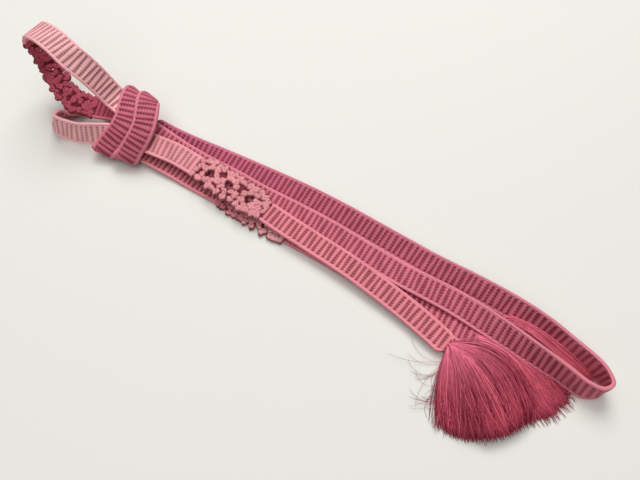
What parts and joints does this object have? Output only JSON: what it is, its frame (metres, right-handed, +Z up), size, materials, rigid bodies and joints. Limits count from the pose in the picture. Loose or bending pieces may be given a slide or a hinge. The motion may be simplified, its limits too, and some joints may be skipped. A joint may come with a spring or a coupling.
{
  "type": "obi cord",
  "caption": "Flat ribbed silk obi cord with open knotwork and fringed tassels, folded into a long bundle, wrapped and looped at one end",
  "frame": {"origin": "middle of the bounding box, on the floor", "axes": "+X along the folded bundle from the loops to the fold, +Y away from the viewer, +Z up"},
  "size_m": [0.3394, 0.077, 0.0487],
  "materials": {
    "silk_pale": "woven, soft sheen",
    "silk_rose": "woven, soft sheen",
    "silk_deep": "woven, soft sheen",
    "silk_tassel": "loose silk thread, soft sheen"
  },
  "bodies": {
    "root": {"strand_1": "silk_rose", "strand_2": "silk_rose", "right_fold": "silk_rose", "strand_3_left": "silk_pale", "strand_3_lace": "silk_rose", "strand_3_right": "silk_rose", "strand_4_left": "silk_pale", "strand_4_lace": "silk_rose", "strand_4_right": "silk_rose", "loop_1_top": "silk_pale", "loop_1_turn": "silk_pale", "loop_1_lace": "silk_deep", "loop_1_return": "silk_deep", "loop_2_front": "silk_pale", "loop_2_turn": "silk_pale", "loop_2_back": "silk_pale", "wrap_left": "silk_deep", "wrap_right": "silk_deep", "knot_core": "silk_deep", "tassel_near": "silk_tassel", "tassel_far": "silk_tassel"}
  },
  "joints": []
}
